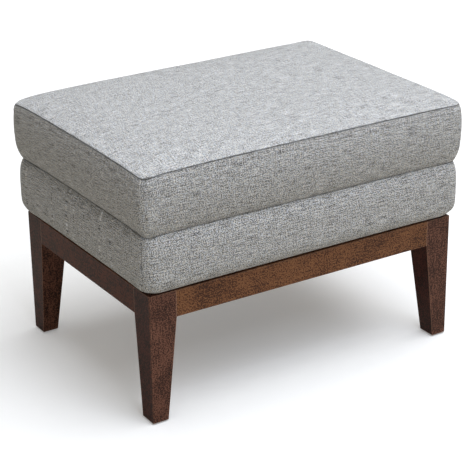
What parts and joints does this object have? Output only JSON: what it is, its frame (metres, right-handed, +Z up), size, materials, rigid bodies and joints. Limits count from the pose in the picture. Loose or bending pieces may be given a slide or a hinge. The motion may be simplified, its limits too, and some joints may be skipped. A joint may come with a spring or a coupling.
{
  "type": "glider ottoman",
  "caption": "Upholstered footstool with a boxed cushion on a padded band, gliding front to back on swing links over a wooden base with tapered legs.",
  "frame": {"origin": "on the floor under the middle of the ottoman at rest", "axes": "+X along the long side, +Y from front to rear along the glide, +Z up"},
  "size_m": [0.632, 0.464, 0.443],
  "materials": {
    "stained_wood": "satin",
    "raw_pine": "matte",
    "nylon": "satin",
    "zinc_steel": "satin",
    "black_steel": "satin",
    "rubber": "matte",
    "webbing": "matte",
    "deck_cloth": "matte",
    "dust_cloth": "matte",
    "foam": "matte",
    "wadding": "matte",
    "upholstery": "matte"
  },
  "bodies": {
    "base": {"leg_front_left": "stained_wood", "leg_front_right": "stained_wood", "leg_rear_left": "stained_wood", "leg_rear_right": "stained_wood", "leg_glides": "nylon", "apron_front": "stained_wood", "apron_rear": "stained_wood", "apron_left": "stained_wood", "apron_right": "stained_wood", "base_corner_blocks": "raw_pine", "cross_rail_left": "raw_pine", "cross_rail_right": "raw_pine", "base_bracket_left": "black_steel", "base_bracket_right": "black_steel", "stop_bumpers": "rubber", "upper_pivot_bolts": "zinc_steel", "upper_pivot_nuts": "zinc_steel"},
    "swing_front_left": {"link_front_left": "black_steel"},
    "swing_front_right": {"link_front_right": "black_steel"},
    "swing_rear_left": {"link_rear_left": "black_steel"},
    "swing_rear_right": {"link_rear_right": "black_steel"},
    "seat": {"seat_bracket_left": "black_steel", "seat_bracket_right": "black_steel", "lower_pivot_bolts": "zinc_steel", "lower_pivot_nuts": "zinc_steel", "mechanism_rail_left": "raw_pine", "mechanism_rail_right": "raw_pine", "seat_rail_front": "raw_pine", "seat_rail_rear": "raw_pine", "seat_rail_left": "raw_pine", "seat_rail_right": "raw_pine", "seat_glue_blocks": "raw_pine", "webbing_lengthwise": "webbing", "webbing_crosswise": "webbing", "deck_cloth": "deck_cloth", "dust_cover": "dust_cloth", "band_padding": "foam", "band_cover": "upholstery", "cushion_foam": "foam", "cushion_wadding": "wadding", "cushion_top_panel": "upholstery", "cushion_boxing": "upholstery", "cushion_bottom_panel": "upholstery"}
  },
  "joints": [
    {"name": "glide", "type": "hinge", "parent": "base", "child": "swing_front_left", "pos_m": [-0.165, -0.092, 0.282], "axis": [1, 0, 0], "range_deg": [-25, 25]},
    {"name": "seat_hang", "type": "hinge", "parent": "swing_front_left", "child": "seat", "pos_m": [-0.165, -0.092, 0.194], "axis": [1, 0, 0], "range_deg": [-25, 25]},
    {"name": "glide_front_right", "type": "hinge", "parent": "base", "child": "swing_front_right", "pos_m": [0.165, -0.092, 0.282], "axis": [1, 0, 0], "range_deg": [-25, 25]},
    {"name": "glide_rear_left", "type": "hinge", "parent": "base", "child": "swing_rear_left", "pos_m": [-0.165, 0.092, 0.282], "axis": [1, 0, 0], "range_deg": [-25, 25]},
    {"name": "glide_rear_right", "type": "hinge", "parent": "base", "child": "swing_rear_right", "pos_m": [0.165, 0.092, 0.282], "axis": [1, 0, 0], "range_deg": [-25, 25]}
  ],
  "couplings": [
    {"joint": "seat_hang", "follows": "glide", "ratio": -1},
    {"joint": "glide_front_right", "follows": "glide", "ratio": 1},
    {"joint": "glide_rear_left", "follows": "glide", "ratio": 1},
    {"joint": "glide_rear_right", "follows": "glide", "ratio": 1}
  ]
}
